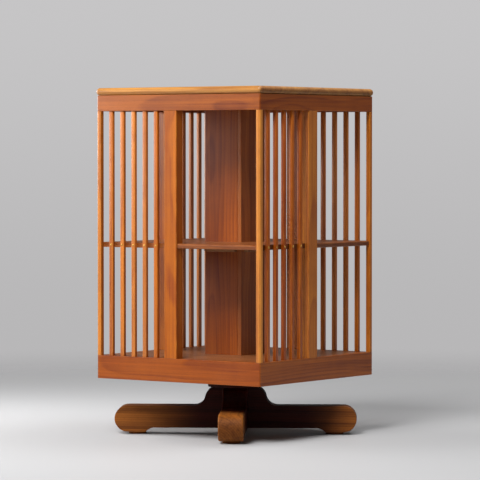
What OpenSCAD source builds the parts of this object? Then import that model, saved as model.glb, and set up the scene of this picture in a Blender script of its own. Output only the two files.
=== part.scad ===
// Revolving bookcase: a square two-tier wooden case that turns on a cross-shaped foot.
// Origin: on the floor, on the axis the case turns about. +Z up, case sides along X and Y.
// Seen from outside, each side has a slatted end on its left and an open bay on its right,
// so the four sides follow each other round like a pinwheel.

/* [Case] */
// Width and depth of the case over its rails
case_w = 482; // [440:1:560]
// Clear height of the lower tier
lower_tier_h = 262; // [220:1:320]
// Clear height of the upper tier
upper_tier_h = 316; // [240:1:360]
// Thickness of the shelf between the tiers
shelf_t = 12; // [9:0.5:18]
// How far the shelf's edge lies behind the case's faces
shelf_setback = 3; // [1:0.5:6]

/* [Top and bottom] */
// Thickness of the top board, whose edge is fully rounded
top_t = 18; // [14:1:26]
// How far the top board reaches past the rails
top_overhang = 3; // [0:0.5:8]
// Height of the frieze rails under the top board
frieze_h = 38; // [26:1:50]
// Height of the plinth rails round the bottom board
plinth_h = 56; // [48:1:70]
// Thickness of the frieze and plinth rails
rail_t = 18; // [14:1:22]
// Thickness of the bottom board
floor_t = 16; // [10:1:20]
// Leg length of the triangular glue blocks in the rail corners
glue_block_leg = 42; // [24:1:60]
// Height of the triangular glue blocks
glue_block_h = 26; // [16:1:34]

/* [Uprights and slats] */
// Side of the square corner posts
corner_post_w = 12; // [10:1:24]
// Width of the posts between slats and open bay
face_post_w = 36; // [26:1:46]
// Depth of the posts between slats and open bay
face_post_d = 26; // [23:1:46]
// Width of each slatted end between its two posts
slat_bay_w = 191; // [150:1:200]
// Number of slats in each slatted end
slat_count = 5; // [3:1:8]
// Width of a slat
slat_w = 11; // [6:0.5:14]
// Depth of a slat
slat_d = 9; // [5:0.5:12]
// How far the slats lie behind the case's faces
slat_setback = 3; // [1:0.5:8]
// Diameter of the brass pins that hold the slats to the shelf
pin_d = 2.4; // [1.6:0.1:3]
// How far a slat pin reaches into the shelf
pin_bite = 14; // [8:1:24]
// Diameter of a slat pin's head
pin_head_d = 5; // [4:0.5:6]
// Height of a slat pin's head
pin_head_h = 1.4; // [0.8:0.1:2]

/* [Core] */
// Outside width of the square core
core_w = 108; // [90:1:130]
// Thickness of the core's boards
core_board_t = 10; // [8:1:14]
// Side of the square battens that carry the shelf at the core
cleat_w = 12; // [8:1:18]

/* [Foot] */
// Angle between the foot's arms and the case's sides when the case is at rest
arm_turn = 33; // [0:1:45]
// Reach of each arm from the axis to its tip
arm_reach = 295; // [260:5:330]
// Width of the arms
arm_w = 60; // [44:1:68]
// Height of the arms' upper edge above the floor
arm_top = 70; // [60:1:80]
// Rise of the foot's flat centre above the arms' upper edge
centre_rise = 46; // [30:1:60]
// Rise of the arms' underside, between hub and toes, above the toes' underside
arch_rise = 10; // [6:1:16]
// Run over which the underside rises from a toe to the arch
arch_run = 22; // [14:1:40]
// Half width of the raised centre where the arms' curve starts
centre_r = 46; // [40:1:90]
// Horizontal run of the curve from the centre down to the arms
ogee_run = 56; // [50:1:100]
// Length of the flat under each toe
toe_flat = 44; // [30:1:60]
// Diameter of the pads under the toes
pad_d = 44; // [30:1:50]
// Thickness of the pads under the toes
pad_t = 6; // [4:1:10]
// Diameter of the turned hub disc
hub_d = 136; // [120:2:170]
// Thickness of the turned hub disc
hub_t = 19; // [10:1:24]
// Radius of the hub disc's rounded rim
hub_round = 5; // [2:0.5:6]
// Gap between the hub disc and the case's lower edge
case_gap = 5; // [3:0.5:12]

/* [Spindle] */
// Diameter of the steel spindle
spindle_d = 18; // [14:1:24]
// Diameter of the spindle's collar
collar_d = 28; // [26:1:32]
// Height of the spindle's collar
collar_h = 4; // [3:0.5:5]
// Diameter of the iron flange under the collar
flange_d = 96; // [80:2:110]
// Thickness of the iron flange
flange_t = 5; // [4:0.5:7]
// Diameter of the flange's boss
boss_d = 36; // [33:1:42]
// Height of the flange's boss
boss_h = 5; // [4:0.5:7]
// Diameter of the four screws that hold the flange
screw_d = 5; // [4:0.5:6]
// Thickness of the hub disc left under the flange screws' points
screw_cover = 3; // [2:0.5:5]
// Diameter of the flange screws' round heads
screw_head_d = 10; // [9:0.5:12]
// Height of the flange screws' round heads
screw_head_h = 3; // [2:0.5:4]
// Width across the flats of the nut under the foot
nut_af = 27; // [26:1:34]
// Height of the nut
nut_h = 11; // [8:1:12]
// Diameter of the washer above the nut
washer_d = 40; // [38:1:46]
// Thickness of the washer
washer_t = 3; // [2:0.5:4]
// How far the nut is let into the foot's underside
nut_inset = 9; // [4:1:12]
// How far the spindle's thread stands out below the nut
thread_tail = 2; // [1:0.5:3]

/* [Bearings] */
// Outside diameter of the brass guide bush
bush_d = 28; // [26:1:34]
// Diameter of the guide bush's flange
bush_flange_d = 44; // [40:1:56]
// Thickness of the guide bush's flange
bush_flange_t = 2; // [1.5:0.5:3]
// Side of the square block that holds the guide bush
guide_block_w = 124; // [90:2:150]
// Air between the spindle's collar and the guide bush
guide_air = 6; // [3:0.5:9]
// Outside diameter of the steel pivot cup
cup_d = 30; // [28:1:36]
// Height of the pivot cup above its plate
cup_h = 30; // [24:1:34]
// Diameter of the pivot cup's plate
cup_plate_d = 68; // [62:1:74]
// Thickness of the pivot cup's plate
cup_plate_t = 4; // [3:0.5:6]
// Thickness of steel over the spindle's crown
cup_crown_wall = 10; // [6:1:14]
// Length of the pivot cup's screws in the block above the plate
cup_screw_bite = 16; // [10:1:24]
// Thickness of the block over the pivot cup
pivot_block_cover = 14; // [10:1:24]

/* [Fits] */
// Radial clearance of the spindle in the bearings it turns in
running_gap = 0.08; // [0.02:0.01:0.1]
// Radial clearance of fixed round pieces in their holes
fixed_gap = 0.05; // [0.02:0.01:0.1]
// Clearance at each cheek of the foot's halved joint
lap_gap = 0.1; // [0:0.05:0.3]
// Clearance between the spindle's crown and the pivot cup
crown_gap = 0.3; // [0.2:0.1:0.5]
// Clearance round the washer in its recess
recess_gap = 0.6; // [0.3:0.1:1]

/* [Hidden] */
SIDES = ["front", "right", "back", "left"];

$fn = 64;
// How far a cutting shape runs past the face it opens
past = 1;

// Heights above the floor
spindle_r = spindle_d / 2;
arch_h = pad_t + arch_rise;
centre_top = arm_top + centre_rise;
hub_top = centre_top + hub_t;
case_lift = hub_top + case_gap;
floor_top = case_lift + plinth_h;
floor_under = floor_top - floor_t;
shelf_under = floor_top + lower_tier_h;
shelf_top = shelf_under + shelf_t;
frieze_under = shelf_top + upper_tier_h;
top_under = frieze_under + frieze_h;
flange_top = hub_top + flange_t;
boss_top = flange_top + boss_h;
collar_top = boss_top + collar_h;
guide_under = collar_top + guide_air + bush_flange_t;
nut_top = arch_h + nut_inset;
washer_top = nut_top + washer_t;
spindle_foot = nut_top - nut_h - thread_tail;
cup_top = top_under - pivot_block_cover;
pivot_under = cup_top - cup_h;
cup_crown = cup_top - cup_crown_wall;
crown_z = cup_crown - spindle_r;

// Distances from the axis, in plan
case_r = case_w / 2;
corner_in = case_r - corner_post_w;
slat_bay_end = -corner_in + slat_bay_w;
bay_start = slat_bay_end + face_post_w;
core_r = core_w / 2;
slat_back = slat_setback + slat_d;
slat_pitch = (slat_bay_w - slat_count * slat_w) / (slat_count + 1) + slat_w;
flange_screw_r = (boss_d + flange_d) / 4;
cup_screw_r = (cup_d + cup_plate_d) / 4;
toe_round = (arm_top - pad_t) / 2;
toe_r = arm_reach - toe_round;
lap_z = (washer_top + centre_top) / 2;
screw_len = flange_t + hub_t - screw_cover;
cup_screw_len = cup_plate_t + cup_screw_bite;
pin_len = slat_d + pin_bite;

// Middle of slat number i along the side, from the axis
function slat_x(i) = -corner_in + slat_pitch * (i + 1) - slat_w / 2;

// One copy for the side with this number: 0 front, 1 right, 2 back, 3 left
module on_side(k) { rotate([0, 0, 90 * k]) children(); }

// One copy for each side
module on_all_sides() { for (k = [0:3]) on_side(k) children(); }

// Upright round hole or rod between two heights
module round_z(r, z_low, z_high) { translate([0, 0, z_low]) cylinder(r = r, h = z_high - z_low); }

// Hole for the fixed spindle through everything between two heights
module spindle_hole(z_low, z_high) {
    round_z(spindle_r + fixed_gap, z_low - past, z_high + past);
}

// Four copies at this distance from the axis
module ring_of_four(r) {
    for (k = [0:3]) rotate([0, 0, 90 * k]) translate([r, 0, 0]) children();
}

// Hole for one of the screws between two heights
module screw_hole(z_low, z_high) { round_z(screw_d / 2 + fixed_gap, z_low, z_high); }

// Domed screw or pin head on the plane z = 0
module dome(d, h) {
    ball_r = (d * d / 4 + h * h) / (2 * h);
    intersection() {
        translate([0, 0, h - ball_r]) sphere(r = ball_r);
        cylinder(d = d, h = h);
    }
}

// Foot

// Outline of one arm from the axis to its tip: run along X, height along Y
module arm_outline() {
    bend_r = (ogee_run * ogee_run + centre_rise * centre_rise) / (4 * centre_rise);
    half_run = ogee_run / 2;
    arch_bend = (arch_run * arch_run + arch_rise * arch_rise) / (2 * arch_rise);
    arch_end = toe_r - toe_flat - arch_run;
    difference() {
        union() {
            translate([0, pad_t]) square([toe_r, arm_top - pad_t]);
            translate([toe_r, pad_t + toe_round]) circle(r = toe_round);
            translate([0, pad_t]) square([centre_r, centre_top - pad_t]);
            intersection() {
                translate([centre_r, centre_top - bend_r]) circle(r = bend_r);
                translate([centre_r - past, arm_top - past])
                    square([half_run + past, centre_rise + past]);
            }
            translate([centre_r - past, arm_top - past])
                square([half_run + past, centre_rise / 2 + past]);
            difference() {
                translate([centre_r + half_run, arm_top - past])
                    square([half_run, centre_rise / 2 + past]);
                translate([centre_r + ogee_run, arm_top + bend_r]) circle(r = bend_r);
            }
        }
        translate([-past, pad_t - past]) square([arch_end + past, arch_rise + past]);
        translate([arch_end, arch_h - arch_bend]) circle(r = arch_bend);
    }
}

// A full beam along X, before its halved joint is cut
module beam_blank() {
    rotate([90, 0, 0]) linear_extrude(height = arm_w, center = true) {
        arm_outline();
        mirror([1, 0]) arm_outline();
    }
}

module foot_beam_lower() {
    color("#4a2a1a") rotate([0, 0, arm_turn]) difference() {
        beam_blank();
        translate([-arm_w / 2 - lap_gap, -arm_w, lap_z])
            cube([arm_w + 2 * lap_gap, 2 * arm_w, centre_top]);
        spindle_hole(0, centre_top);
        round_z(washer_d / 2 + recess_gap, 0, washer_top);
    }
}

module foot_beam_upper() {
    color("#4f2d1c") rotate([0, 0, arm_turn + 90]) difference() {
        beam_blank();
        translate([-arm_w / 2 - lap_gap, -arm_w, 0])
            cube([arm_w + 2 * lap_gap, 2 * arm_w, lap_z]);
        spindle_hole(0, centre_top);
    }
}

// Pad under the toe that lies this many quarter turns round from the front
module foot_pad(k) {
    color("#3a2014") rotate([0, 0, arm_turn - 90 + 90 * k])
        translate([toe_r - toe_flat / 2, 0, 0]) cylinder(d = pad_d, h = pad_t);
}

module hub_disc() {
    rim_r = hub_d / 2 - hub_round;
    color("#45281a") difference() {
        rotate_extrude() union() {
            translate([0, centre_top]) square([rim_r, hub_t]);
            translate([0, centre_top]) square([hub_d / 2, hub_t - hub_round]);
            translate([rim_r, hub_top - hub_round]) circle(r = hub_round);
        }
        spindle_hole(centre_top, hub_top);
        ring_of_four(flange_screw_r) screw_hole(flange_top - screw_len, hub_top + past);
    }
}

// Spindle

module spindle_flange() {
    color("#4b4a49") difference() {
        union() {
            round_z(flange_d / 2, hub_top, flange_top);
            round_z(boss_d / 2, hub_top, boss_top);
        }
        spindle_hole(hub_top, boss_top);
        ring_of_four(flange_screw_r) screw_hole(hub_top - past, flange_top + past);
    }
}

module flange_screws() {
    color("#8d8a84") ring_of_four(flange_screw_r) translate([0, 0, flange_top]) {
        translate([0, 0, -screw_len]) cylinder(d = screw_d, h = screw_len);
        dome(screw_head_d, screw_head_h);
    }
}

module spindle() {
    color("#9a9994") union() {
        round_z(spindle_r, spindle_foot, crown_z - crown_gap);
        translate([0, 0, crown_z - crown_gap]) sphere(r = spindle_r);
        round_z(collar_d / 2, boss_top, collar_top);
    }
}

module spindle_washer() {
    color("#8d8a84") difference() {
        round_z(washer_d / 2, nut_top, washer_top);
        spindle_hole(nut_top, washer_top);
    }
}

module spindle_nut() {
    color("#8d8a84") difference() {
        translate([0, 0, nut_top - nut_h]) cylinder(d = nut_af / cos(30), h = nut_h, $fn = 6);
        spindle_hole(nut_top - nut_h, nut_top);
    }
}

// Bottom of the case

module bottom_board() {
    board_w = case_w - 2 * rail_t;
    color("#a86236") difference() {
        translate([-board_w / 2, -board_w / 2, floor_under]) cube([board_w, board_w, floor_t]);
        round_z(bush_d / 2 + fixed_gap, floor_under - past, floor_top + past);
    }
}

// Front rail of a mitred frame, between two heights
module mitred_rail(z_low, z_high) {
    in = case_r - rail_t;
    translate([0, 0, z_low]) linear_extrude(height = z_high - z_low)
        polygon([[-case_r, -case_r], [case_r, -case_r], [in, -in], [-in, -in]]);
}

// Four triangular blocks in the corners inside the rails, hanging from this height
module glue_blocks(z_high) {
    in = case_r - rail_t;
    on_all_sides() translate([-in, -in, z_high - glue_block_h])
        linear_extrude(height = glue_block_h)
            polygon([[0, 0], [glue_block_leg, 0], [0, glue_block_leg]]);
}

module plinth_rail(k) { color("#b2703f") on_side(k) mitred_rail(case_lift, floor_top); }

module plinth_blocks() { color("#8c5532") glue_blocks(floor_under); }

module guide_block() {
    color("#8c5532") difference() {
        translate([-guide_block_w / 2, -guide_block_w / 2, guide_under])
            cube([guide_block_w, guide_block_w, floor_under - guide_under]);
        round_z(bush_d / 2 + fixed_gap, guide_under - past, floor_under + past);
    }
}

module guide_bush() {
    color("#b8923f") difference() {
        union() {
            round_z(bush_d / 2, guide_under, floor_top);
            round_z(bush_flange_d / 2, guide_under - bush_flange_t, guide_under);
        }
        round_z(spindle_r + running_gap, guide_under - bush_flange_t - past, floor_top + past);
    }
}

// Core

// One board of the square core; each board's end butts against the next board's face
module core_board(k) {
    color("#8f5530") on_side(k) translate([-core_r, -core_r, floor_top])
        cube([core_w - core_board_t, core_board_t, top_under - floor_top]);
}

module shelf_cleats() {
    color("#8f5530") on_all_sides()
        translate([-core_r + cleat_w, -core_r - cleat_w, shelf_under - cleat_w])
            cube([core_w - 2 * cleat_w, cleat_w, cleat_w]);
}

// Uprights

module corner_post(k) {
    color("#a9683c") on_side(k) translate([-case_r, -case_r, floor_top])
        cube([corner_post_w, corner_post_w, frieze_under - floor_top]);
}

// Post between slats and open bay; its head is rebated to pass behind the frieze rail
module face_post(k) {
    color("#b9703a") on_side(k) translate([slat_bay_end, -case_r, floor_top]) {
        cube([face_post_w, face_post_d, frieze_under - floor_top]);
        translate([0, rail_t, 0])
            cube([face_post_w, face_post_d - rail_t, top_under - floor_top]);
    }
}

// Lying hole or pin for slat number i, from the slat's outer face to this depth
module slat_pin_hole(i, r, depth) {
    translate([slat_x(i), -case_r + slat_setback, shelf_under + shelf_t / 2])
        rotate([-90, 0, 0]) cylinder(r = r, h = depth);
}

module slats(k) {
    color("#c98546") on_side(k) for (i = [0:slat_count - 1]) difference() {
        translate([slat_x(i) - slat_w / 2, -case_r + slat_setback, floor_top])
            cube([slat_w, slat_d, frieze_under - floor_top]);
        translate([0, -past, 0])
            slat_pin_hole(i, pin_d / 2 + fixed_gap, slat_d + 2 * past);
    }
}

module slat_pins() {
    color("#c79a3e") on_all_sides() for (i = [0:slat_count - 1]) {
        slat_pin_hole(i, pin_d / 2, pin_len);
        translate([slat_x(i), -case_r + slat_setback, shelf_under + shelf_t / 2])
            rotate([90, 0, 0]) dome(pin_head_d, pin_head_h);
    }
}

// Shelf between the tiers, let in round the core, the posts and the slats
module mid_shelf() {
    shelf_r = case_r - shelf_setback;
    color("#b06a38") difference() {
        translate([0, 0, shelf_under]) linear_extrude(height = shelf_t) difference() {
            square(2 * shelf_r, center = true);
            square(core_w, center = true);
            for (k = [0:3]) rotate(90 * k) {
                translate([-case_r, -case_r]) square(corner_post_w);
                translate([slat_bay_end, -case_r]) square([face_post_w, face_post_d]);
                translate([-corner_in - past, -case_r]) square([slat_bay_w + 2 * past, slat_back]);
            }
        }
        on_all_sides() for (i = [0:slat_count - 1])
            slat_pin_hole(i, pin_d / 2 + fixed_gap, pin_len);
    }
}

// Head of the case

module frieze_rail(k) { color("#b2703f") on_side(k) mitred_rail(frieze_under, top_under); }

module frieze_blocks() { color("#8c5532") glue_blocks(top_under); }

module pivot_block() {
    block_w = core_w - 2 * core_board_t;
    color("#8c5532") difference() {
        translate([-block_w / 2, -block_w / 2, pivot_under])
            cube([block_w, block_w, top_under - pivot_under]);
        round_z(cup_d / 2 + fixed_gap, pivot_under - past, cup_top);
        ring_of_four(cup_screw_r) screw_hole(pivot_under - past, pivot_under + cup_screw_bite);
    }
}

// Steel cup in the head of the core, which rests on the spindle's round end
module pivot_cup() {
    color("#9a9994") difference() {
        union() {
            round_z(cup_d / 2, pivot_under - cup_plate_t, cup_top);
            round_z(cup_plate_d / 2, pivot_under - cup_plate_t, pivot_under);
        }
        round_z(spindle_r + running_gap, pivot_under - cup_plate_t - past, crown_z);
        translate([0, 0, crown_z]) sphere(r = spindle_r + running_gap);
        ring_of_four(cup_screw_r)
            screw_hole(pivot_under - cup_plate_t - past, pivot_under + past);
    }
}

module cup_screws() {
    color("#8d8a84") ring_of_four(cup_screw_r) translate([0, 0, pivot_under - cup_plate_t]) {
        cylinder(d = screw_d, h = cup_screw_len);
        mirror([0, 0, 1]) dome(screw_head_d, screw_head_h);
    }
}

// Top board with a fully rounded edge
module top_board() {
    nose_r = top_t / 2;
    flat_r = case_r + top_overhang - nose_r;
    color("#b8743f") union() {
        translate([-flat_r, -flat_r, top_under]) cube([2 * flat_r, 2 * flat_r, top_t]);
        on_all_sides() translate([-flat_r, -flat_r, top_under + nose_r]) {
            rotate([0, 90, 0]) cylinder(r = nose_r, h = 2 * flat_r);
            sphere(r = nose_r);
        }
    }
}

foot_beam_lower();
foot_beam_upper();
hub_disc();
spindle_flange();
flange_screws();
spindle();
spindle_washer();
spindle_nut();
bottom_board();
plinth_blocks();
guide_block();
guide_bush();
mid_shelf();
shelf_cleats();
slat_pins();
frieze_blocks();
pivot_block();
pivot_cup();
cup_screws();
top_board();
for (k = [0:3]) {
    foot_pad(k);
    plinth_rail(k);
    core_board(k);
    corner_post(k);
    face_post(k);
    slats(k);
    frieze_rail(k);
}
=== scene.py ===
"""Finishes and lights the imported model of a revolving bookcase.

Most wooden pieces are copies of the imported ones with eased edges. Rails, slats, pins and screws are
modelled again. Each board carries its own place in the log it was sawn from, so that one wood
material gives every board its own grain.
"""

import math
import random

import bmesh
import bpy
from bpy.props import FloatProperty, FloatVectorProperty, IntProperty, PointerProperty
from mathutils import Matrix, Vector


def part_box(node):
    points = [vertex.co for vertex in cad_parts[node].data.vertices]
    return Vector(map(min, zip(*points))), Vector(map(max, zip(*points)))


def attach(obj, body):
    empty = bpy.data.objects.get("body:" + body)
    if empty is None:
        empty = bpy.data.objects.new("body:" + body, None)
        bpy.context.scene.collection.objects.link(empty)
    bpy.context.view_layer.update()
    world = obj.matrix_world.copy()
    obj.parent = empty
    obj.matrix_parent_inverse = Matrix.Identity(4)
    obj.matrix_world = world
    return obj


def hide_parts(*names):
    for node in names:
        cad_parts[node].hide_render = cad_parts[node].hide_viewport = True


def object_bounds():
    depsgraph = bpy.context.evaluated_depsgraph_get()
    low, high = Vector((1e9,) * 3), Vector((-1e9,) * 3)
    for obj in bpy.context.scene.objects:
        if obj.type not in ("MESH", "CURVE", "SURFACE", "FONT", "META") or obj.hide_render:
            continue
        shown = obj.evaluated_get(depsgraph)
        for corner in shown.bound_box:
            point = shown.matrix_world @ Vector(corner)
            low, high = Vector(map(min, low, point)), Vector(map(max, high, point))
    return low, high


bl_info = {
    "name": "Revolving Bookcase",
    "version": (1, 0, 0),
    "blender": (4, 5, 0),
    "location": "View3D > Sidebar > Bookcase",
    "description": "Finishes and lights the packed model of a revolving bookcase",
    "category": "Object",
}

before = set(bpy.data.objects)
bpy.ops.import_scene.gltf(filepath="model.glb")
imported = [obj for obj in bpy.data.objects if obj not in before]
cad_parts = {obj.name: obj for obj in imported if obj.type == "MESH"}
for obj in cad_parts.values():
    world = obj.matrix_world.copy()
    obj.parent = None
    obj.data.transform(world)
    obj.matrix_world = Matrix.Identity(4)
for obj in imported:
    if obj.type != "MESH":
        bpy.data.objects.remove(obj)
CAD_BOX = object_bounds()

SIDES = ("front", "right", "back", "left")
QUARTER = math.pi / 2
# Directions at the front, which the other three sides have a quarter turn further on each
ACROSS = (1, 0, 0)
OUT = (0, -1, 0)
UP = (0, 0, 1)

# Points closer than this are one point, and points this near to a face or a rim lie on it
WELD = 1e-5
NEAR = 5e-5
# Faces that meet flatter than this are one face, and sharper than this they make an edge
FLAT_ANGLE = math.radians(0.3)
SHARP_ANGLE = math.radians(40)
SLAT_SHARP_ANGLE = math.radians(25)

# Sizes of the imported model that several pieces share
CASE_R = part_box("plinth_rail_front")[1].x
RAIL_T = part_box("plinth_rail_front")[1].y + CASE_R
SHELF_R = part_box("mid_shelf")[1].x

# The foot's halved joint ends nearer than this to half a beam's width from the axis
HALVING_CLEAR = 2e-4

# Screws, and how deep a pin goes into the shelf behind its slat
SCREWS_IN_RING = 4
SCREW_SLOT_W = 0.0012
SCREW_SLOT_DEPTH = 0.0014
PIN_BITE = 0.014

# Where boards lie in their log: least and most distance from its heart, how far to either side
# along it, and how far a row's slats are shifted across it
HEART_R = (0.07, 0.16)
LOG_REACH = 6
SLAT_SHIFT = 0.03

# The staves of a wide board: how far apart they lay in the log, how much they differ in tone,
# and how far from the joint the glue begins to fade and has faded out
STAVE_SEED = 0.37
STAVE_SHIFT_ALONG = 9
STAVE_SHIFT_ACROSS = 0.12
STAVE_TONE = 0.9
GLUE_LINE = (0.00012, 0.0004)

# Painted shade on the foot: a tint darkens its middle, which the case above shades, and fades out
# between two radii round a middle off the axis, so that the toes on the lit side stay paler
SHADE_MIDDLE = (0.036, 0.026)
SHADE_R = (0.12, 0.28)


def linear(hex_code):
    """The scene-linear colour of an sRGB code such as #b06a38."""
    shares = [int(hex_code[i:i + 2], 16) / 255 for i in (1, 3, 5)]
    return tuple(s / 12.92 if s <= 0.04045 else ((s + 0.055) / 1.055) ** 2.4 for s in shares)


def colour_property(name, description, hex_code):
    """A colour swatch in the panel."""
    return FloatVectorProperty(name=name, description=description, subtype="COLOR", size=3,
                               min=0, max=1, default=linear(hex_code))


def early_wood(pieces, hex_code):
    """The colour of the pale wood of these pieces."""
    return colour_property(pieces + ", pale", "Early wood, which grows in spring", hex_code)


def late_wood(pieces, hex_code):
    """The colour of the deep wood of these pieces."""
    return colour_property(pieces + ", deep", "Late wood, which ends each ring", hex_code)


def length_property(name, description, metres, highest=0.02):
    """A length in the panel."""
    return FloatProperty(name=name, description=description, default=metres, min=0, max=highest,
                         precision=4, subtype="DISTANCE", unit="LENGTH")


def angle_property(name, description, degrees):
    """An angle in the panel."""
    return FloatProperty(name=name, description=description, default=math.radians(degrees),
                         subtype="ANGLE", unit="ROTATION")


class BookcaseShape(bpy.types.PropertyGroup):
    """How far the pieces' edges are rounded at most, and the number and width of the slats."""

    long_ease: length_property("Long edges", "Rounding of edges along a piece", 0.0012)
    end_ease: length_property("End edges", "Rounding of edges round a piece's ends", 0.0003)
    corner_round: length_property("Case corners", "Rounding of the case's upright corners", 0.004)
    shelf_round: length_property("Shelf edge", "Rounding of the shelf's outer edge", 0.0035)
    arm_round: length_property("Foot arms", "Most that the foot's arms are rounded. It stops "
                               "before edges would cross, which is sooner", 0.006)
    metal_ease: length_property("Metal edges", "Rounding of turned metal edges", 0.0006)
    slat_count: IntProperty(name="Slats", description="Number of slats in each slatted end",
                            default=5, min=1, max=12)
    slat_w: length_property("Slat width", "Width of a slat", 0.011)


class BookcaseFinish(bpy.types.PropertyGroup):
    """Colours and figure of the wood and the metals."""

    rail_pale: early_wood("Rails", "#a4540c")
    rail_deep: late_wood("Rails", "#612003")
    # The top's colours are paler and greyer than the rails': partly its own wood, partly a painted
    # highlight for the light from above on its rounded nose
    top_pale: early_wood("Top", "#bc7b2e")
    top_deep: late_wood("Top", "#703410")
    post_pale: early_wood("Posts", "#ce7b1d")
    post_deep: late_wood("Posts", "#7c3209")
    core_pale: early_wood("Core", "#a95a1a")
    core_deep: late_wood("Core", "#652407")
    shelf_pale: early_wood("Shelf and bottom", "#8f4c19")
    shelf_deep: late_wood("Shelf and bottom", "#551d06")
    slat_pale: early_wood("Slats", "#c66c10")
    slat_deep: late_wood("Slats", "#803303")
    foot_pale: early_wood("Foot", "#925117")
    foot_deep: late_wood("Foot", "#472008")
    inner_pale: early_wood("Hidden blocks", "#a97c52")
    inner_deep: late_wood("Hidden blocks", "#6f4526")
    iron: colour_property("Iron", "Japanned iron of the flange", "#1c1b1b")
    steel: colour_property("Steel", "Turned steel of the spindle", "#b9b8b4")
    brass: colour_property("Brass", "Brass of the bush and pins", "#c9a050")
    # Painted shade: this tint stands for the case's shadow on the middle of the foot
    painted_shade: colour_property("Foot's grime", "Tint of the foot's middle, where no shoe rubs it",
                           "#6f3c45")
    ring_w: length_property("Growth rings", "Width of a growth ring", 0.0055, 0.05)
    stave_w: length_property("Staves", "Width of the staves that wide boards are glued from",
                             0.092, 0.5)
    polish: FloatProperty(name="Polish", description="Weight of the polish on the case",
                          default=0.12, min=0, max=1, subtype="FACTOR")


class BookcaseStage(bpy.types.PropertyGroup):
    """Camera, lights and floor."""

    azimuth: angle_property("View from", "Camera's bearing round the case", 35.5)
    distance: length_property("Distance", "Camera's distance from the axis", 7.3, 50)
    eye_height: length_property("Eye height", "Camera's height above the floor", 0.688, 5)
    aim_height: length_property("Aim height", "Height of the point in the picture's middle",
                                0.473, 5)
    aim_right: length_property("Aim right", "Distance of that point to the right of the axis",
                               0.01, 1)
    lens: FloatProperty(name="Lens", description="Focal length in millimetres on a 36 mm sensor",
                        default=224.5, min=20, max=600)
    wall_light: FloatProperty(name="Wall light", description="Light from the room's walls",
                              default=0.19, min=0, max=5)
    ceiling_light: FloatProperty(name="Ceiling light", description="Light from the room's ceiling",
                                 default=0.0, min=0, max=5)
    floor: colour_property("Floor", "Colour of the floor", "#b2b2b3")
    wall_low: colour_property("Wall, low", "Background at the floor", "#b8b7b8")
    wall_high: colour_property("Wall, high", "Background above the case", "#c6c5c6")
    floor_r: length_property("Floor radius", "Distance at which the floor has faded out", 3.3, 30)
    fade_w: length_property("Floor fade", "Width of the floor's fading rim", 2.65, 30)


def light_group(label, bearing, elevation, distance, side, watts):
    """The settings of one square soft light that looks at the middle of the bookcase."""
    settings = {
        "bearing": angle_property(label + " bearing", "Direction it stands in", bearing),
        "elevation": angle_property(label + " elevation", "Height over the horizon", elevation),
        "distance": length_property(label + " distance", "From the bookcase's middle", distance, 20),
        "side": length_property(label + " side", "Side of its square", side, 5),
        "watts": FloatProperty(name=label + " power", description="Power in watts",
                               default=watts, min=0, max=5000),
    }
    return type(f"Bookcase{label}Light", (bpy.types.PropertyGroup,), {"__annotations__": settings})


# Each light's bearing and elevation in degrees, distance and side in metres, and watts
LIGHTS = {
    "bookcase_key": light_group("Key", -52, 16, 2.5, 1.0, 26),
    "bookcase_side": light_group("Side", -80, 20, 1.5, 0.7, 17),
    "bookcase_fill": light_group("Fill", 10, 46, 5, 2.0, 332),
    "bookcase_back": light_group("Back", 132, 64, 3, 1.5, 50),
}


# Node trees


class Value:
    """A node's output that adds Math nodes when it stands in a sum."""

    def __init__(self, sheet, socket):
        self.sheet = sheet
        self.socket = socket

    def math(self, operation, *others):
        """This value and the others through a Math node."""
        sockets = dict(enumerate((self, *others)))
        return self.sheet.node("ShaderNodeMath", {"operation": operation}, sockets)

    def __add__(self, other):
        return self.math("ADD", other)

    def __mul__(self, other):
        return self.math("MULTIPLY", other)

    def __sub__(self, other):
        return self.math("SUBTRACT", other)

    def __rsub__(self, other):
        return self.sheet.node("ShaderNodeMath", {"operation": "SUBTRACT"}, {0: other, 1: self})

    def __truediv__(self, other):
        return self.math("DIVIDE", other)

    def __rtruediv__(self, other):
        return self.sheet.node("ShaderNodeMath", {"operation": "DIVIDE"}, {0: other, 1: self})

    def __pow__(self, other):
        return self.math("POWER", other)

    __radd__ = __add__


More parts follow.
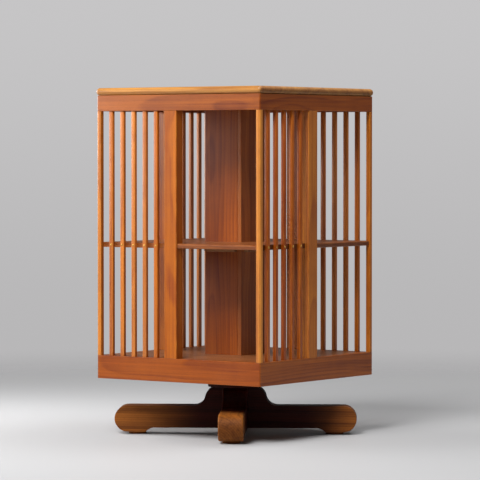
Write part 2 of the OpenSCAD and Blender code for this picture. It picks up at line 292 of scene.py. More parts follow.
class Sheet:
    """A node tree with one short way of adding a node."""

    def __init__(self, tree):
        self.tree = tree

    def node(self, kind, settings=None, sockets=None, out=0):
        """Adds a node, gives it its settings, then its sockets' values or links."""
        node = self.tree.nodes.new(kind)
        for key, value in (settings or {}).items():
            setattr(node, key, value)
        for key, value in (sockets or {}).items():
            if isinstance(value, Value):
                self.tree.links.new(value.socket, node.inputs[key])
            else:
                node.inputs[key].default_value = value
        return Value(self, node.outputs[out]) if len(node.outputs) else None

    def attribute(self, name, out):
        """An attribute of the mesh, by its Vector or Fac output."""
        return self.node("ShaderNodeAttribute", {"attribute_name": name}, out=out)

    def split(self, vector):
        """The three parts of a vector."""
        first = self.node("ShaderNodeSeparateXYZ", sockets={0: vector})
        return [Value(self, socket) for socket in first.socket.node.outputs]

    def join(self, x, y, z):
        """A vector of three parts."""
        return self.node("ShaderNodeCombineXYZ", sockets={0: x, 1: y, 2: z})

    def place(self):
        """The three parts of a point's place in the object's own frame."""
        return self.split(self.node("ShaderNodeTexCoord", out="Object"))

    def length(self, vector):
        """How long a vector is."""
        return self.node("ShaderNodeVectorMath", {"operation": "LENGTH"}, {0: vector}, "Value")

    def noise(self, vector, detail=2, roughness=0.5, out="Fac"):
        """Noise whose cells are one unit of the vector wide."""
        return self.node("ShaderNodeTexNoise", None,
                         {"Vector": vector, "Scale": 1, "Detail": detail, "Roughness": roughness},
                         out)

    def ramp(self, value, low, high, to_low=0, to_high=1):
        """The value taken smoothly from one range to another and held at its ends."""
        return self.node("ShaderNodeMapRange", {"interpolation_type": "SMOOTHSTEP"},
                         {"Value": value, "From Min": low, "From Max": high,
                          "To Min": to_low, "To Max": to_high})

    def blend(self, share, first, second, way="MIX"):
        """Two colours mixed, the second at this share."""
        # The Mix node has sockets 6 and 7 and output 2 for colours
        return self.node("ShaderNodeMix", {"data_type": "RGBA", "blend_type": way},
                         {0: share, 6: first, 7: second}, 2)

    def bump(self, height, strength, depth):
        """A normal from this height, at full height this many metres deep."""
        return self.node("ShaderNodeBump", None,
                         {"Height": height, "Strength": strength, "Distance": depth}, "Normal")


def rgba(colour, share=1.0):
    """This share of a colour's light with full alpha, as a node's socket wants it."""
    return (*[part * share for part in colour], 1)


def new_finish(name):
    """An empty material and the sheet for its nodes."""
    material = bpy.data.materials.new(name)
    material.use_nodes = True
    material.node_tree.nodes.clear()
    return material, Sheet(material.node_tree)


def surface(sheet, sockets):
    """A Principled surface as the material's output."""
    shader = sheet.node("ShaderNodeBsdfPrincipled", None, sockets)
    sheet.node("ShaderNodeOutputMaterial", None, {"Surface": shader})


# Finishes


def glued_staves(sheet, stave_w, along, across, tone):
    """The place and tone of each stave of a wide board, and where the glue between them shows."""
    stave = across / stave_w
    luck = sheet.node("ShaderNodeTexWhiteNoise", {"noise_dimensions": "1D"},
                      {"W": stave.math("FLOOR") + STAVE_SEED}, "Color")
    luck_a, luck_b, luck_c = sheet.split(luck)
    share = stave.math("FRACT")
    from_joint = share.math("MINIMUM", 1 - share) * stave_w
    glue = sheet.ramp(from_joint, *GLUE_LINE, 1, 0)
    return (along + luck_b * STAVE_SHIFT_ALONG, across + (luck_c - 0.5) * STAVE_SHIFT_ACROSS,
            tone + (luck_a - 0.5) * STAVE_TONE, glue)


def wood(name, pale, deep, polish, rough, stave_w=0.0, painted_shade=None):
    """Wood, sawn from a log whose rings, fibres and pores run through each board.

    Polish is the weight of its coat, and the last argument a tint painted on the middle of the foot
    as the shade that the case casts there."""
    looks = bpy.context.scene.bookcase_finish
    material, sheet = new_finish(name)
    along, across, through = sheet.split(sheet.attribute("grain_place", "Vector"))
    tone = sheet.attribute("board_tone", "Fac")
    end = sheet.attribute("end_grain", "Fac")
    worn = sheet.attribute("worn_edge", "Fac")
    if stave_w:
        along, across, tone, glue = glued_staves(sheet, stave_w, along, across, tone)

    def cells(lengthwise, crosswise, detail=2, roughness=0.5, out="Fac"):
        """Noise with so many cells to a metre, along the grain and across it."""
        place = sheet.join(along * lengthwise, across * crosswise, through * crosswise)
        return sheet.noise(place, detail, roughness, out)

    # The rings sway as the trunk did, and darken to late wood before the next one starts
    sway_a, sway_b, sway_c = sheet.split(cells(1.7, 6, out="Color"))
    ring_r = sheet.length(sheet.join(0.0, across + (sway_a - 0.5) * 0.034,
                                     through + (sway_b - 0.5) * 0.034))
    ring = (ring_r / looks.ring_w + sway_c * 1.5).math("FRACT")
    late = (ring ** 2.4) * sheet.ramp(ring, 0.88, 1, 1, 0)
    ribbon = sheet.noise(sheet.join(along * 0.9, ring_r * 62, 0.0))
    fibre = cells(9, 620, 3, 0.6)
    streak = cells(2.2, 150, 2, 0.55)
    roe = cells(26, 9)
    pores = sheet.ramp(cells(120, 2600, 1), 0.6, 0.72)

    # How deep the colour is, with the share of each part of the figure
    depth = (0.42 + late * 0.34 + (ribbon - 0.5) * 1.15 + (streak - 0.5) * 0.9
             + (fibre - 0.5) * 0.55 + (roe - 0.5) * 0.22)
    depth = depth.math("MAXIMUM", 0.0).math("MINIMUM", 1.0)
    colour = sheet.blend(depth, rgba(pale), rgba(deep))
    # A board's tone makes it yellower, paler and brighter than the next one
    colour = sheet.node("ShaderNodeHueSaturation", None,
                        {"Hue": 0.494 + tone * 0.012, "Saturation": 1.04 - tone * 0.08,
                         "Value": 0.86 + tone * 0.28, "Color": colour}, "Color")
    # Pores and end grain are darker, scuffed edges paler, glue lines darker again, and the foot's
    # middle is darker with painted shade
    colour = sheet.blend(pores * 0.42, colour, rgba(deep, 0.35))
    colour = sheet.blend(end * 0.5, colour, rgba(deep, 0.6))
    scuff = sheet.ramp(cells(30, 30, 3), 0.4, 0.65)
    colour = sheet.blend(worn * scuff * 0.35, colour, rgba([part ** 0.8 for part in pale]))
    if stave_w:
        colour = sheet.blend(glue * 0.6, colour, rgba(deep, 0.35))
    # Painted shade: the foot's middle, under the case, is tinted darker, fading out towards the toes
    if painted_shade:
        x, y, _ = sheet.place()
        from_middle = sheet.length(sheet.join(x - SHADE_MIDDLE[0], y - SHADE_MIDDLE[1], 0.0))
        in_painted_shade = sheet.ramp(from_middle, *SHADE_R, 1, 0)
        colour = sheet.blend(in_painted_shade, colour, rgba(painted_shade), "MULTIPLY")

    smear = cells(7, 12)
    roughness = (rough + (smear - 0.5) * 0.16 + (fibre - 0.5) * 0.1 + pores * 0.18 + end * 0.2
                 + worn * scuff * 0.08)
    relief = fibre * 0.35 + late * 0.15 - pores * 0.8
    if stave_w:
        relief = relief - glue
    surface(sheet, {"Base Color": colour, "Roughness": roughness,
                    "Coat Weight": (1 - pores * 0.5) * polish if polish else 0.0,
                    "Coat Roughness": 0.16, "Coat IOR": 1.5, "IOR": 1.48,
                    "Specular IOR Level": 0.12 if painted_shade else 0.35,
                    "Normal": sheet.bump(relief, 0.25, 0.0003)})
    return material


def turned_metal(name, colour, rough, tarnish):
    """Metal with the fine rings that a lathe leaves round the upright axis."""
    material, sheet = new_finish(name)
    x, y, z = sheet.place()
    radius = sheet.length(sheet.join(x, y, 0.0))
    rings = sheet.noise(sheet.join(radius * 2400, z * 2400, 0.0))
    film = sheet.ramp(sheet.noise(sheet.join(x * 60, y * 60, z * 60), 4), 0.45, 0.75)
    surface(sheet, {"Base Color": sheet.blend(film * tarnish, rgba(colour), rgba(colour, 0.45)),
                    "Metallic": 1.0,
                    "Roughness": rough + (rings - 0.5) * 0.12 + film * (tarnish * 0.35),
                    "Normal": sheet.bump(rings, 0.3, 0.00004)})
    return material


def japanned_iron(name, colour):
    """Black baked varnish on a casting, rubbed grey on its edges."""
    material, sheet = new_finish(name)
    x, y, z = sheet.place()
    peel = sheet.noise(sheet.join(x * 420, y * 420, z * 420), 3)
    rub = sheet.ramp(sheet.noise(sheet.join(x * 90, y * 90, z * 90), 3), 0.45, 0.7)
    bare = sheet.attribute("worn_edge", "Fac") * rub
    surface(sheet, {"Base Color": sheet.blend(bare, rgba(colour), rgba((0.16, 0.15, 0.145))),
                    "Metallic": bare * 0.8,
                    "Roughness": 0.34 + (peel - 0.5) * 0.2 + bare * 0.1,
                    "Normal": sheet.bump(peel, 0.3, 0.0002)})
    return material


def finish(name):
    """The finish of this name, made when it is first asked for."""
    label = name + "_finish"
    if label in bpy.data.materials:
        return bpy.data.materials[label]
    looks = bpy.context.scene.bookcase_finish

    def sawn(kind, rough, stave_w=0.0, polish=looks.polish, painted_shade=None):
        """Wood in the two colours of this kind."""
        return wood(label, getattr(looks, kind + "_pale"), getattr(looks, kind + "_deep"),
                    polish, rough, stave_w, painted_shade)

    makers = {
        "rail": lambda: sawn("rail", 0.4),
        # Partly a painted highlight: the top's paler colours stand for light from above on its nose
        "top": lambda: sawn("top", 0.38, looks.stave_w),
        "post": lambda: sawn("post", 0.4),
        "core": lambda: sawn("core", 0.4),
        "shelf": lambda: sawn("shelf", 0.38, looks.stave_w),
        "slat_wood": lambda: sawn("slat", 0.4),
        # The foot gets a painted shade for the case's shadow on its middle
        "foot_wood": lambda: sawn("foot", 0.5, polish=0.0, painted_shade=looks.painted_shade),
        "inner_wood": lambda: sawn("inner", 0.6, polish=0.0),
        "iron": lambda: japanned_iron(label, looks.iron),
        "steel": lambda: turned_metal(label, looks.steel, 0.3, 0.25),
        "brass": lambda: turned_metal(label, looks.brass, 0.32, 0.45),
    }
    return makers[name]()


# Meshes


def turned(vector, quarter_turns):
    """A vector turned about the upright axis by quarter turns."""
    return Matrix.Rotation(QUARTER * quarter_turns, 3, "Z") @ Vector(vector)


def cad_copy(node):
    """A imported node's mesh with its loose triangles merged and its flat faces joined."""
    shape = bmesh.new()
    shape.from_mesh(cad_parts[node].data)
    bmesh.ops.remove_doubles(shape, verts=shape.verts, dist=WELD)
    bmesh.ops.dissolve_limit(shape, angle_limit=FLAT_ANGLE, verts=shape.verts, edges=shape.edges)
    return shape


def ease(shape, width, chosen=None, segments=2):
    """Rounds the sharp edges that are chosen, all of them if nothing is said.

    The width is the most that they are rounded, and it stops before edges would cross."""
    worn = shape.faces.layers.float.get("worn_edge") or shape.faces.layers.float.new("worn_edge")
    edges = [e for e in shape.edges
             if e.is_manifold and e.calc_face_angle() > SHARP_ANGLE and (not chosen or chosen(e))]
    made = bmesh.ops.bevel(shape, geom=edges, offset=width, offset_type="OFFSET",
                           segments=segments, profile=0.5, affect="EDGES", clamp_overlap=True)
    for face in made["faces"]:
        face[worn] = 1


def is_upright(edge):
    """Whether an edge stands upright."""
    run = edge.verts[1].co - edge.verts[0].co
    return abs(run.normalized().z) > 0.999


def is_level(edge):
    """Whether an edge lies level."""
    return abs(edge.verts[0].co.z - edge.verts[1].co.z) < WELD


def solids(mesh):
    """The mesh's points, as one list for each solid in it."""
    shape = bmesh.new()
    shape.from_mesh(mesh)
    left = set(shape.verts)
    found = []
    while left:
        grow = [left.pop()]
        for vert in grow:
            near = [e.other_vert(vert) for e in vert.link_edges]
            grow += [v for v in near if v in left]
            left.difference_update(near)
        found.append(sorted(v.index for v in grow))
    shape.free()
    return sorted(found)


def lay_grain(mesh, grain, face, seed):
    """Gives each solid in the mesh its own place in a log, and marks its end grain.

    The grain runs along one direction, and the board's show face looks along the other."""
    grain = Vector(grain).normalized()
    face = Vector(face).normalized()
    edge_way = face.cross(grain)
    luck = random.Random(seed)
    for name, kind, domain in (("grain_place", "FLOAT_VECTOR", "POINT"),
                               ("board_tone", "FLOAT", "POINT"), ("end_grain", "FLOAT", "FACE"),
                               ("worn_edge", "FLOAT", "FACE")):
        if name not in mesh.attributes:
            mesh.attributes.new(name, kind, domain)
    place = mesh.attributes["grain_place"].data
    tone = mesh.attributes["board_tone"].data
    end = mesh.attributes["end_grain"].data
    for points in solids(mesh):
        middle = sum((mesh.vertices[i].co for i in points), Vector()) / len(points)
        heart_r = luck.uniform(*HEART_R)
        heart_turn = luck.gauss(QUARTER, 0.4)
        shift = Vector((luck.uniform(-LOG_REACH, LOG_REACH), heart_r * math.cos(heart_turn),
                        heart_r * math.sin(heart_turn)))
        board_tone = luck.random()
        for i in points:
            spot = mesh.vertices[i].co - middle
            place[i].vector = Vector((spot.dot(grain), spot.dot(edge_way), spot.dot(face))) + shift
            tone[i].value = board_tone
    for polygon in mesh.polygons:
        end[polygon.index].value = abs(polygon.normal.dot(grain)) ** 4


def new_piece(name, shape):
    """A mesh object at the origin made of this shape, which is used up."""
    bmesh.ops.recalc_face_normals(shape, faces=shape.faces)
    mesh = bpy.data.meshes.new(name)
    shape.to_mesh(mesh)
    shape.free()
    piece = bpy.data.objects.new(name, mesh)
    bpy.context.scene.collection.objects.link(piece)
    return piece


def settle(piece):
    """Turns a piece and its modifiers into a plain mesh."""
    bpy.context.view_layer.update()
    depsgraph = bpy.context.evaluated_depsgraph_get()
    mesh = bpy.data.meshes.new_from_object(piece.evaluated_get(depsgraph),
                                           preserve_all_data_layers=True, depsgraph=depsgraph)
    piece.modifiers.clear()
    piece.data = mesh
    mesh.name = piece.name


def smooth(piece, sharp_angle=SHARP_ANGLE):
    """Shades a piece smooth between its sharp edges."""
    piece.data.shade_smooth()
    piece.data.set_sharp_from_angle(angle=sharp_angle)


def shade(piece):
    """Shades a piece smooth over rounded edges, with its large flat faces kept flat."""
    smooth(piece)
    weighting = piece.modifiers.new("Flat faces", "WEIGHTED_NORMAL")
    weighting.keep_sharp = True
    settle(piece)


def hand_over(piece, body, node):
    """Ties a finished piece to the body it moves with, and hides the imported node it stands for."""
    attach(piece, body)
    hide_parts(node)


def wooden(name, shape, grain, face, body, slot, looks_like=None):
    """A finished wooden piece that stands for the node with its name.

    It has its slot's own finish, or the one that it looks like."""
    piece = new_piece(name + "_eased", shape)
    lay_grain(piece.data, grain, face, name)
    piece.data.materials.append(finish(looks_like or slot))
    shade(piece)
    hand_over(piece, body, name)


# Geometry node trees for what repeats


def new_tree(name, inputs):
    """An empty geometry node tree with a geometry in and out and these inputs."""
    tree = bpy.data.node_groups.new(name, "GeometryNodeTree")
    tree.interface.new_socket("Geometry", in_out="INPUT", socket_type="NodeSocketGeometry")
    for label, kind in inputs.items():
        tree.interface.new_socket(label, in_out="INPUT", socket_type="NodeSocket" + kind)
    tree.interface.new_socket("Geometry", in_out="OUTPUT", socket_type="NodeSocketGeometry")
    sheet = Sheet(tree)
    first = sheet.node("NodeGroupInput").socket.node
    return sheet, {socket.name: Value(sheet, socket) for socket in first.outputs if socket.name}


def end_tree(sheet, geometry, material):
    """Realizes, paints and gives out a tree's geometry."""
    solid = sheet.node("GeometryNodeRealizeInstances", None, {0: geometry})
    painted = sheet.node("GeometryNodeSetMaterial", None, {"Geometry": solid, "Material": material})
    sheet.node("NodeGroupOutput", None, {0: painted})


def random_store(sheet, geometry, name, kind, low, high, seed):
    """Stores a random value of this kind on each instance."""
    # The node has sockets for least, most and result of each kind, one kind after the other
    least, most, result = {"FLOAT_VECTOR": (0, 1, 0), "FLOAT": (2, 3, 1)}[kind]
    value = sheet.node("FunctionNodeRandomValue", {"data_type": kind},
                       {least: low, most: high, "Seed": seed}, result)
    return sheet.node("GeometryNodeStoreNamedAttribute",
                      {"data_type": kind, "domain": "INSTANCE"},
                      {"Geometry": geometry, "Name": name, "Value": value})


def named(sheet, name, kind):
    """A stored attribute of this kind."""
    return sheet.node("GeometryNodeInputNamedAttribute", {"data_type": kind}, {"Name": name})


def row_tree():
    """The tree that sets copies of a piece in a row and the row on one or more sides."""
    if "Rows on sides" in bpy.data.node_groups:
        return bpy.data.node_groups["Rows on sides"]
    sheet, given = new_tree("Rows on sides", {
        "Count": "Int", "Step": "Vector", "Sides": "Int", "First Side": "Int", "Seed": "Int",
        "Finish": "Material"})
    line = sheet.node("GeometryNodeMeshLine", None, {"Count": given["Count"],
                                                     "Offset": given["Step"]})
    row = sheet.node("GeometryNodeInstanceOnPoints", None,
                     {"Points": line, "Instance": given["Geometry"]})
    row = random_store(sheet, row, "grain_shift", "FLOAT_VECTOR",
                       (-LOG_REACH, -SLAT_SHIFT, -SLAT_SHIFT), (LOG_REACH, SLAT_SHIFT, SLAT_SHIFT),
                       given["Seed"])
    row = random_store(sheet, row, "tone_shift", "FLOAT", -0.5, 0.5, given["Seed"])
    row = sheet.node("GeometryNodeRealizeInstances", None, {0: row})
    for name, shift, kind in (("grain_place", "grain_shift", "FLOAT_VECTOR"),
                              ("board_tone", "tone_shift", "FLOAT")):
        adder = "ShaderNodeVectorMath" if kind == "FLOAT_VECTOR" else "ShaderNodeMath"
        total = sheet.node(adder, {"operation": "ADD"},
                           {0: named(sheet, name, kind), 1: named(sheet, shift, kind)})
        row = sheet.node("GeometryNodeStoreNamedAttribute", {"data_type": kind, "domain": "POINT"},
                         {"Geometry": row, "Name": name, "Value": total})
        row = sheet.node("GeometryNodeRemoveAttribute", None, {"Geometry": row, "Name": shift})
    corners = sheet.node("GeometryNodeMeshLine", None,
                         {"Count": given["Sides"], "Offset": (0, 0, 0)})
    number = sheet.node("GeometryNodeInputIndex") + given["First Side"]
    spin = sheet.join(0.0, 0.0, number * QUARTER)
    sides = sheet.node("GeometryNodeInstanceOnPoints", None,
                       {"Points": corners, "Instance": row, "Rotation": spin})
    end_tree(sheet, sides, given["Finish"])
    return sheet.tree


def ring_tree():
    """The tree that sets copies of a piece in a ring round the upright axis."""
    if "Ring round axis" in bpy.data.node_groups:
        return bpy.data.node_groups["Ring round axis"]
    sheet, given = new_tree("Ring round axis", {
        "Count": "Int", "Radius": "Float", "Height": "Float", "Finish": "Material"})
    points = sheet.node("GeometryNodeMeshLine", None, {"Count": given["Count"],
                                                       "Offset": (0, 0, 0)})
    angle = sheet.node("GeometryNodeInputIndex") * ((2 * math.pi) / given["Count"])
    spot = sheet.join(angle.math("COSINE") * given["Radius"], angle.math("SINE") * given["Radius"],
                      given["Height"])
    points = sheet.node("GeometryNodeSetPosition", None, {"Geometry": points, "Position": spot})
    ring = sheet.node("GeometryNodeInstanceOnPoints", None,
                      {"Points": points, "Instance": given["Geometry"],
                       "Rotation": sheet.join(0.0, 0.0, angle)})
    end_tree(sheet, ring, given["Finish"])
    return sheet.tree


def repeat(piece, tree, values):
    """Runs a tree on a piece, with values by the names of its inputs, and keeps the result."""
    modifier = piece.modifiers.new("Copies", "NODES")
    modifier.node_group = tree
    for item in tree.interface.items_tree:
        if item.in_out == "INPUT" and item.name in values:
            modifier[item.identifier] = values[item.name]
    settle(piece)


# Pieces


def revolve(profile, steps):
    """A closed shape turned about the upright axis from points of radius and height."""
    shape = bmesh.new()
    rings = []
    for radius, height in profile:
        if radius < WELD:
            rings.append([shape.verts.new((0, 0, height))])
            continue
        ring = []
        for i in range(steps):
            angle = 2 * math.pi * i / steps
            ring.append(shape.verts.new((radius * math.cos(angle), radius * math.sin(angle),
                                         height)))
        rings.append(ring)
    for low, high in zip(rings, rings[1:]):
        for i in range(steps):
            corners = [low[i % len(low)], low[(i + 1) % len(low)],
                       high[(i + 1) % len(high)], high[i % len(high)]]
            corners = list(dict.fromkeys(corners))
            if len(corners) > 2:
                shape.faces.new(corners)
    return shape


def round_head(head_d, head_h, shank_len, dome_steps, steps):
    """A pin with a domed head, whose flat lies on z = 0, and half as thick a shank below it."""
    shank_r = head_d / 4
    ball_r = (head_d * head_d / 4 + head_h * head_h) / (2 * head_h)
    reach = math.asin(min(1, head_d / 2 / ball_r))
    profile = [(0, -shank_len), (shank_r, -shank_len), (shank_r, 0), (head_d / 2, 0)]
    for i in range(1, dome_steps + 1):
        angle = reach * (1 - i / dome_steps)
        profile.append((ball_r * math.sin(angle), head_h - ball_r + ball_r * math.cos(angle)))
    return revolve(profile, steps)


def block(middle, size):
    """A square-edged block."""
    shape = bmesh.new()
    bmesh.ops.create_cube(shape, size=1,
                          matrix=Matrix.Translation(middle) @ Matrix.Diagonal((*size, 1)))
    return shape


def slotted_screw(name, head_d, head_h, shank_len):
    """A round-head wood screw with its head's flat on z = 0 and its shank below."""
    screw = new_piece(name, round_head(head_d, head_h, shank_len, dome_steps=7, steps=32))
    blade = block((0, 0, head_h), (2 * head_d, SCREW_SLOT_W, 2 * SCREW_SLOT_DEPTH))
    cutter = new_piece("screw_slot", blade)
    cut = screw.modifiers.new("Slot", "BOOLEAN")
    cut.operation = "DIFFERENCE"
    cut.solver = "EXACT"
    cut.object = cutter
    settle(screw)
    bpy.data.objects.remove(cutter)
    smooth(screw)
    return screw


def beam_way(node):
    """The direction a beam of the foot runs in, which is that of its longest edge."""
    shape = cad_copy(node)
    longest = max(shape.edges, key=lambda edge: edge.calc_length())
    run = longest.verts[1].co - longest.verts[0].co
    shape.free()
    return run.normalized()


class BOOKCASE_OT_foot_beams(bpy.types.Operator):
    """Make the two halved beams of the foot, with rounded arms"""

    bl_idname = "bookcase.foot_beams"
    bl_label = "Foot beams"

    def execute(self, context):
        sizes = context.scene.bookcase_shape
        for node in ("foot_beam_lower", "foot_beam_upper"):
            way = beam_way(node)
            cheek = Vector((-way.y, way.x, 0))
            shape = cad_copy(node)
            half_w = max(v.co.dot(cheek) for v in shape.verts)

            def on_arm_cheek(edge):
                ends = [v.co for v in edge.verts]
                beside = all(abs(abs(p.dot(cheek)) - half_w) < NEAR for p in ends)
                return beside and all(abs(p.dot(way)) > half_w + HALVING_CLEAR for p in ends)

            ease(shape, sizes.arm_round, on_arm_cheek, segments=5)
            wooden(node, shape, way, UP, "foot", "foot_wood")
        return {"FINISHED"}


class BOOKCASE_OT_foot_turnings(bpy.types.Operator):
    """Make the pads under the toes and the turned hub disc"""

    bl_idname = "bookcase.foot_turnings"
    bl_label = "Pads and hub disc"

    def execute(self, context):
        sizes = context.scene.bookcase_shape
        for side in SIDES:
            shape = cad_copy("foot_pad_" + side)
            ease(shape, sizes.long_ease)
            wooden("foot_pad_" + side, shape, UP, ACROSS, "foot", "foot_wood")
        shape = cad_copy("hub_disc")
        ease(shape, sizes.end_ease)
        wooden("hub_disc", shape, beam_way("foot_beam_lower"), UP, "foot", "foot_wood")
        return {"FINISHED"}


class BOOKCASE_OT_spindle(bpy.types.Operator):
    """Finish the spindle, its washer and nut, the bearings and the iron flange"""

    bl_idname = "bookcase.spindle"
    bl_label = "Spindle and bearings"

    def execute(self, context):
        for node in ("spindle", "spindle_washer", "spindle_nut", "pivot_cup", "guide_bush"):
            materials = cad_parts[node].data.materials
            materials.clear()
            materials.append(finish("brass" if node == "guide_bush" else "steel"))
        shape = cad_copy("spindle_flange")
        ease(shape, context.scene.bookcase_shape.metal_ease)
        flange = new_piece("spindle_flange_eased", shape)
        flange.data.materials.append(finish("iron"))
        shade(flange)
        hand_over(flange, "foot", "spindle_flange")
        return {"FINISHED"}


class BOOKCASE_OT_screws(bpy.types.Operator):
    """Make the slotted screws of the flange and of the pivot cup"""

    bl_idname = "bookcase.screws"
    bl_label = "Screws"

    def execute(self, context):
        for node, body, head_up in (("flange_screws", "foot", True),
                                    ("cup_screws", "case", False)):
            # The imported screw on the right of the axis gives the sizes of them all
            low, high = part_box(node)
            verts = [v.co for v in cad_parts[node].data.vertices]
            first = [p for p in verts if p.x > abs(p.y) + WELD]
            nearest = min(p.x for p in first)
            furthest = max(p.x for p in first)
            ring_r = (nearest + furthest) / 2
            head_d = furthest - nearest
            rim = [p.z for p in first if abs(p.x - ring_r) > head_d / 2 - NEAR]
            seat = sum(rim) / len(rim)
            above = high.z - seat
            below = seat - low.z
            head_h, shank_len = (above, below) if head_up else (below, above)
            screw = slotted_screw(node + "_slotted", head_d, head_h, shank_len)
            if not head_up:
                screw.data.transform(Matrix.Rotation(math.pi, 4, "X"))
            repeat(screw, ring_tree(), {"Count": SCREWS_IN_RING, "Radius": ring_r,
                                        "Height": seat, "Finish": finish("steel")})
            hand_over(screw, body, node)
        return {"FINISHED"}


def mitred_rail(node, k):
    """The rail of one side, whose outer face curves into the mitre at each end."""
    sizes = bpy.context.scene.bookcase_shape
    low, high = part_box(node)
    inner = CASE_R - RAIL_T
    bend = sizes.corner_round
    centre = CASE_R - bend
    steps = 3
    curve = []
    for i in range(steps + 1):
        angle = -QUARTER + QUARTER / 2 * i / steps
        curve.append((centre + bend * math.cos(angle), bend * math.sin(angle) - centre))
    plan = [(-x, y) for x, y in reversed(curve)] + curve + [(inner, -inner), (-inner, -inner)]
    shape = bmesh.new()
    base = shape.faces.new([shape.verts.new(turned((x, y, low.z), k)) for x, y in plan])
    grown = bmesh.ops.extrude_face_region(shape, geom=[base])
    lifted = [v for v in grown["geom"] if isinstance(v, bmesh.types.BMVert)]
    bmesh.ops.translate(shape, verts=lifted, vec=(0, 0, high.z - low.z))
    bmesh.ops.recalc_face_normals(shape, faces=shape.faces)

    def is_outside(edge):
        return is_level(edge) and all(turned(v.co, -k).y < -centre for v in edge.verts)

    ease(shape, sizes.long_ease, is_outside)
    return shape


class BOOKCASE_OT_rails(bpy.types.Operator):
    """Make the mitred plinth and frieze rails, rounded together at the case's corners"""

    bl_idname = "bookcase.rails"
    bl_label = "Rails"

    def execute(self, context):
        for k, side in enumerate(SIDES):
            for kind in ("plinth_rail_", "frieze_rail_"):
                wooden(kind + side, mitred_rail(kind + side, k), turned(ACROSS, k),
                       turned(OUT, k), "case", "case_wood", "rail")
        return {"FINISHED"}


class BOOKCASE_OT_boards(bpy.types.Operator):
    """Make the bottom board, the shelf, the top board and the core's boards"""

    bl_idname = "bookcase.boards"
    bl_label = "Boards"

    def execute(self, context):
        sizes = context.scene.bookcase_shape
        shape = cad_copy("bottom_board")
        ease(shape, sizes.end_ease)
        wooden("bottom_board", shape, ACROSS, UP, "case", "case_wood", "shelf")

        def on_rim(edge):
            return is_level(edge) and any(
                all(abs(abs(v.co[axis]) - SHELF_R) < NEAR for v in edge.verts) for axis in (0, 1))

        shape = cad_copy("mid_shelf")
        ease(shape, sizes.shelf_round, on_rim, segments=4)
        wooden("mid_shelf", shape, ACROSS, UP, "case", "case_wood", "shelf")
        wooden("top_board", cad_copy("top_board"), ACROSS, UP, "case", "case_wood", "top")
        for k, side in enumerate(SIDES):
            shape = cad_copy("core_board_" + side)
            ease(shape, sizes.long_ease, is_upright)
            ease(shape, sizes.end_ease)
            wooden("core_board_" + side, shape, UP, turned(OUT, k), "case", "case_wood", "core")
        return {"FINISHED"}


class BOOKCASE_OT_posts(bpy.types.Operator):
    """Make the corner posts and the posts between slats and open bay"""

    bl_idname = "bookcase.posts"
    bl_label = "Posts"

    def execute(self, context):
        sizes = context.scene.bookcase_shape

        def on_corner(edge):
            return is_upright(edge) and all(
                min(abs(v.co.x), abs(v.co.y)) > CASE_R - NEAR for v in edge.verts)

        for k, side in enumerate(SIDES):
            for kind in ("corner_post_", "face_post_"):
                shape = cad_copy(kind + side)
                if kind == "corner_post_":
                    ease(shape, sizes.corner_round, on_corner, segments=4)
                ease(shape, sizes.long_ease, is_upright)
                ease(shape, sizes.end_ease)
                wooden(kind + side, shape, UP, turned(OUT, k), "case", "case_wood", "post")
        return {"FINISHED"}


class BOOKCASE_OT_slats(bpy.types.Operator):
    """Make the slats of the four slatted ends and their brass pins"""

    bl_idname = "bookcase.slats"
    bl_label = "Slats and pins"

    def execute(self, context):
        sizes = context.scene.bookcase_shape
        low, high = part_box("slats_front")
        size = Vector((sizes.slat_w, high.y - low.y, high.z - low.z))
        middle = low + size / 2
        count = sizes.slat_count
        step = (high.x - low.x - size.x) / max(1, count - 1)
        for k, side in enumerate(SIDES):
            shape = block(middle, size)
            ease(shape, sizes.long_ease, is_upright, segments=3)
            ease(shape, sizes.end_ease)
            slat = new_piece("slats_" + side + "_eased", shape)
            lay_grain(slat.data, UP, OUT, "slats_" + side)
            smooth(slat, SLAT_SHARP_ANGLE)
            repeat(slat, row_tree(), {"Count": count, "Step": (step, 0, 0), "Sides": 1,
                                      "First Side": k, "Seed": k, "Finish": finish("slat_wood")})
            hand_over(slat, "case", "slats_" + side)

        shelf_low, shelf_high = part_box("mid_shelf")
        pins_low, pins_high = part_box("slat_pins")
        head_h = low.y - pins_low.y
        head_d = pins_high.z - pins_low.z
        pin = new_piece("slat_pins_domed", round_head(head_d, head_h, size.y + PIN_BITE,
                                                      dome_steps=4, steps=16))
        pin.data.transform(Matrix.Translation((middle.x, low.y, (shelf_low.z + shelf_high.z) / 2))
                           @ Matrix.Rotation(QUARTER, 4, "X"))
        smooth(pin)
        repeat(pin, row_tree(), {"Count": count, "Step": (step, 0, 0), "Sides": len(SIDES),
                                 "First Side": 0, "Seed": 0, "Finish": finish("brass")})
        hand_over(pin, "case", "slat_pins")
        return {"FINISHED"}


class BOOKCASE_OT_blocks(bpy.types.Operator):
    """Make the glue blocks, the shelf's battens and the blocks that hold the bearings"""

    bl_idname = "bookcase.blocks"
    bl_label = "Blocks and battens"

    def execute(self, context):
        grain_of = {"plinth_blocks": UP, "frieze_blocks": UP, "guide_block": ACROSS,
                    "pivot_block": ACROSS, "shelf_cleats": ACROSS}
        for node, grain in grain_of.items():
            shape = cad_copy(node)
            ease(shape, context.scene.bookcase_shape.long_ease)
            wooden(node, shape, grain, (0, 1, 0), "case", "inner_wood")
        return {"FINISHED"}


# Stage


def toward(azimuth, elevation):
    """The direction at this bearing and height, as seen from the axis."""
    return Vector((math.sin(azimuth) * math.cos(elevation),
                   -math.cos(azimuth) * math.cos(elevation), math.sin(elevation)))


def aim(thing, target):
    """Points a light or camera at a place."""
    thing.rotation_euler = (Vector(target) - thing.location).to_track_quat("-Z", "Y").to_euler()


def area_light(name, settings):
    """A square soft light that isn't seen itself."""
    middle = (CAD_BOX[0] + CAD_BOX[1]) / 2
    lamp = bpy.data.lights.new(name, "AREA")
    lamp.size = settings.side
    lamp.energy = settings.watts
    light = bpy.data.objects.new(name, lamp)
    light.location = middle + toward(settings.bearing, settings.elevation) * settings.distance
    light.visible_camera = False
    bpy.context.scene.collection.objects.link(light)
    aim(light, middle)


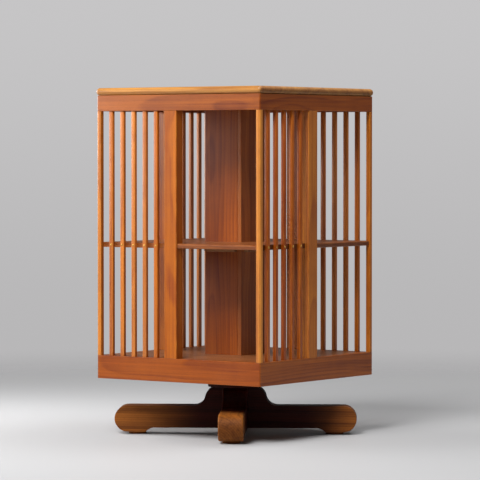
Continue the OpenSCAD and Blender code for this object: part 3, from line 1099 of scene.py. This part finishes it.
def make_floor(setup):
    """A round pale floor whose rim fades into the background."""
    shape = bmesh.new()
    bmesh.ops.create_circle(shape, cap_ends=True, segments=128, radius=setup.floor_r)
    floor = new_piece("floor", shape)
    material, sheet = new_finish("floor_paint")
    x, y, _ = sheet.place()
    radius = sheet.length(sheet.join(x, y, 0.0))
    faded = sheet.ramp(radius, setup.floor_r - setup.fade_w, setup.floor_r)
    paint = sheet.node("ShaderNodeBsdfPrincipled", None,
                       {"Base Color": rgba(setup.floor), "Roughness": 0.55})
    clear = sheet.node("ShaderNodeBsdfTransparent")
    mixed = sheet.node("ShaderNodeMixShader", None, {0: faded, 1: paint, 2: clear})
    sheet.node("ShaderNodeOutputMaterial", None, {"Surface": mixed})
    floor.data.materials.append(material)


def make_room(setup):
    """Even light from the room, and the background that the camera sees."""
    world = bpy.data.worlds.new("room")
    world.use_nodes = True
    world.node_tree.nodes.clear()
    bpy.context.scene.world = world
    sheet = Sheet(world.node_tree)
    # Rise goes from -1 straight down to 1 straight up. The background changes colour round the
    # horizon, and the light changes from the walls' to the ceiling's above it
    _, _, rise = sheet.split(sheet.node("ShaderNodeTexCoord", out="Generated"))
    wall = sheet.blend(sheet.ramp(rise, -0.07, 0.06), rgba(setup.wall_low), rgba(setup.wall_high))
    seen = sheet.node("ShaderNodeBackground", None, {"Color": wall})
    strength = sheet.ramp(rise, 0.1, 0.9, setup.wall_light, setup.ceiling_light)
    light = sheet.node("ShaderNodeBackground", None, {"Color": (1, 1, 1, 1),
                                                      "Strength": strength})
    to_camera = sheet.node("ShaderNodeLightPath", out="Is Camera Ray")
    both = sheet.node("ShaderNodeMixShader", None, {0: to_camera, 1: light, 2: seen})
    sheet.node("ShaderNodeOutputWorld", None, {"Surface": both})


class BOOKCASE_OT_stage(bpy.types.Operator):
    """Set the camera, the lights, the floor and the background"""

    bl_idname = "bookcase.stage"
    bl_label = "Stage"

    def execute(self, context):
        setup = context.scene.bookcase_stage
        context.scene.view_settings.view_transform = "Standard"
        camera_data = bpy.data.cameras.new("camera")
        camera_data.lens = setup.lens
        camera_data.clip_end = 100
        camera = bpy.data.objects.new("camera", camera_data)
        context.scene.collection.objects.link(camera)
        up = Vector(UP)
        camera.location = toward(setup.azimuth, 0) * setup.distance + up * setup.eye_height
        right = Vector((math.cos(setup.azimuth), math.sin(setup.azimuth), 0))
        aim(camera, right * setup.aim_right + up * setup.aim_height)
        context.scene.camera = camera

        for name in LIGHTS:
            area_light(name, getattr(context.scene, name))
        make_floor(setup)
        make_room(setup)
        return {"FINISHED"}


GROUPS = {"bookcase_shape": BookcaseShape, "bookcase_finish": BookcaseFinish,
          "bookcase_stage": BookcaseStage, **LIGHTS}
OPERATORS = (
    BOOKCASE_OT_foot_beams,
    BOOKCASE_OT_foot_turnings,
    BOOKCASE_OT_spindle,
    BOOKCASE_OT_screws,
    BOOKCASE_OT_rails,
    BOOKCASE_OT_boards,
    BOOKCASE_OT_posts,
    BOOKCASE_OT_slats,
    BOOKCASE_OT_blocks,
    BOOKCASE_OT_stage,
)


class BOOKCASE_PT_panel(bpy.types.Panel):
    """Sizes, colours and operators of the bookcase"""

    bl_idname = "BOOKCASE_PT_panel"
    bl_label = "Revolving Bookcase"
    bl_space_type = "VIEW_3D"
    bl_region_type = "UI"
    bl_category = "Bookcase"

    def draw(self, context):
        for group in GROUPS:
            box = self.layout.box()
            settings = getattr(context.scene, group)
            for name in GROUPS[group].__annotations__:
                box.prop(settings, name)
        for operator in OPERATORS:
            self.layout.operator(operator.bl_idname)


CLASSES = (*GROUPS.values(), *OPERATORS, BOOKCASE_PT_panel)


def register():
    """Makes the classes known and gives the scene its settings."""
    for cls in CLASSES:
        bpy.utils.register_class(cls)
    for name, group in GROUPS.items():
        setattr(bpy.types.Scene, name, PointerProperty(type=group))


def unregister():
    """Takes the settings and the classes away."""
    for name in GROUPS:
        delattr(bpy.types.Scene, name)
    for cls in reversed(CLASSES):
        bpy.utils.unregister_class(cls)


def main():
    """Makes every piece and the stage."""
    register()
    for operator in OPERATORS:
        group, name = operator.bl_idname.split(".")
        getattr(getattr(bpy.ops, group), name)()


if __name__ == "__main__":
    main()
